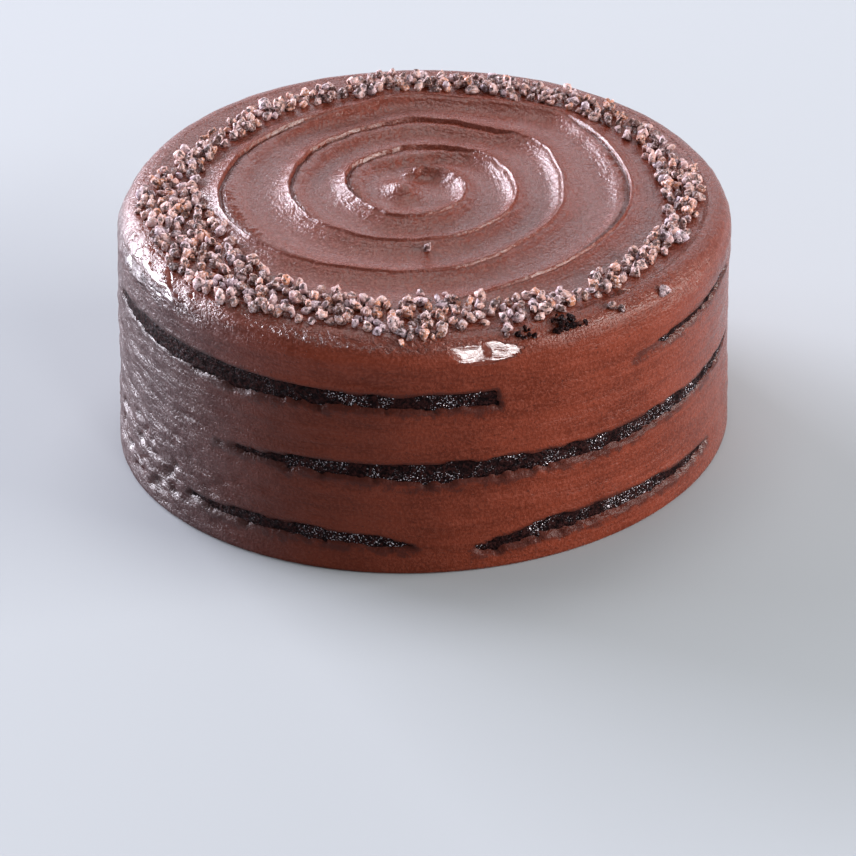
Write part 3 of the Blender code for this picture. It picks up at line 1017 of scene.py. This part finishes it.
def nib_finish():
    """Dusty cocoa nibs, each of its own tone, with pale dust and painted highlights on their bumps
    and painted shade in their pits.
    """
    finish = Finish("dusty_nibs", IOR=1.50)
    place = finish.place()
    own = finish.node("ShaderNodeValToRGB", {"stops": NIB_TONES}, {"Fac": finish.attribute("tone")})
    dust = finish.speckle(place, 1300.0, 3.0, 0.6)
    pits = finish.step(finish.speckle(place, 560.0, 2.0, 0.55), 0.50, 0.36)
    # Pale where the bump stands up: partly dust, partly a painted highlight
    dust_and_highlight = finish.step(dust, 0.48, 0.60)
    base = finish.mix(dust_and_highlight * 0.6, own, NIB_DUST_AND_HIGHLIGHT)
    # Darker in the pits of the bump: painted shade
    base = finish.mix(pits * 0.9, base, NIB_PIT_SHADE)
    return finish.wear(
        Base_Color=base,
        Roughness=finish.step(dust, 0.3, 0.7, 0.38, 0.65),
        Normal=finish.bump(dust * 0.6 - pits * 0.9, NIB_BUMP),
    )


FLOOR_COLOUR = colour(0.426, 0.458, 0.482)
FLOOR_SIZE = 3.0

SKY_COLOUR = colour(0.90, 0.95, 1.0)
SKY_STRENGTH = 0.28

# Lamps: name, place, size, brightness over the face, and tint
LAMPS = (
    ("window", (-3.20, 3.23, 1.72), (3.1, 0.85), 37.0, (0.98, 0.94, 1.07)),
    ("left", (-4.2, 2.2, 0.60), (3.4, 0.9), 36.0, (0.97, 0.96, 1.07)),
    ("back", (0.8, 4.7, 1.90), (4.6, 1.1), 3.4, (0.98, 0.94, 1.04)),
    ("overhead", (0.1, 0.95, 2.40), (1.5, 1.1), 3.6, (1.0, 0.97, 0.98)),
    ("front", (1.0, -2.45, 1.50), (0.45, 0.40), 24.0, (1.0, 0.97, 0.98)),
    ("fill", (4.2, -0.9, 1.30), (3.4, 2.0), 12.8, (1.0, 0.96, 0.93)),
)


def make_floor():
    bm = bmesh.new()
    bmesh.ops.create_grid(bm, x_segments=1, y_segments=1, size=FLOOR_SIZE)
    mesh = bpy.data.meshes.new("floor")
    bm.to_mesh(mesh)
    bm.free()
    floor = bpy.data.objects.new("floor", mesh)
    bpy.context.scene.collection.objects.link(floor)
    finish = Finish("pale_floor", Base_Color=FLOOR_COLOUR, Roughness=0.8)
    mesh.materials.append(finish.material)


def add_light(name, place, size, glow, tint):
    """A soft rectangular lamp that faces the cake, of this brightness over its face."""
    lamp = bpy.data.lights.new(name, "AREA")
    lamp.shape = "RECTANGLE"
    lamp.size, lamp.size_y = size
    lamp.energy = glow * math.pi * size[0] * size[1]
    lamp.color = tint
    made = bpy.data.objects.new(name, lamp)
    made.location = place
    aim = Vector((0, 0, TOP_HEIGHT / 2)) - Vector(place)
    made.rotation_euler = aim.to_track_quat("-Z", "Y").to_euler()
    bpy.context.scene.collection.objects.link(made)


def light_studio():
    world = bpy.data.worlds.new("studio")
    world.use_nodes = True
    background = world.node_tree.nodes["Background"]
    background.inputs["Color"].default_value = SKY_COLOUR
    background.inputs["Strength"].default_value = SKY_STRENGTH
    bpy.context.scene.world = world
    for lamp in LAMPS:
        add_light(*lamp)
    bpy.context.scene.view_settings.view_transform = "Standard"


CAMERA_TARGET = Vector((0.00131, 0.0, -0.0042))
CAMERA_DISTANCE = 2.0
CAMERA_ELEVATION = 0.5194
CAMERA_ROLL = -0.0413
FOCAL_PIXELS = 5908
PHOTO_PIXELS = 856
SENSOR_WIDTH = 36.0


def place_camera():
    """The photograph's view: from the front, 30 degrees down, slightly rolled."""
    back = Vector((0, -math.cos(CAMERA_ELEVATION), math.sin(CAMERA_ELEVATION)))
    level_right = Vector((1, 0, 0))
    level_up = back.cross(level_right)
    right = level_right * math.cos(CAMERA_ROLL) + level_up * math.sin(CAMERA_ROLL)
    up = level_up * math.cos(CAMERA_ROLL) - level_right * math.sin(CAMERA_ROLL)
    lens = bpy.data.cameras.new("camera")
    lens.sensor_width = SENSOR_WIDTH
    lens.lens = FOCAL_PIXELS / PHOTO_PIXELS * SENSOR_WIDTH
    camera = bpy.data.objects.new("camera", lens)
    camera.matrix_world = Matrix.Translation(CAMERA_TARGET + back * CAMERA_DISTANCE) @ (
        Matrix((right, up, back)).transposed().to_4x4()
    )
    bpy.context.scene.collection.objects.link(camera)
    bpy.context.scene.camera = camera


def make_cake():
    coat = make_coat(frosting_finish())
    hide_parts("frosting")
    sponge = sponge_finish("dark_sponge", 1.0)
    for name, (lower, upper) in SPONGES.items():
        layer = make_sponge(name, lower, upper, sponge)
        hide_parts(name)
    rng = random.Random(11)
    make_granules("nibs", spread_nibs(rng), rng, nib_finish())
    make_granules("dark_crumbs", spread_crumbs(rng), rng, sponge_finish("loose_crumbs", 0.2))


make_cake()
make_floor()
light_studio()
place_camera()
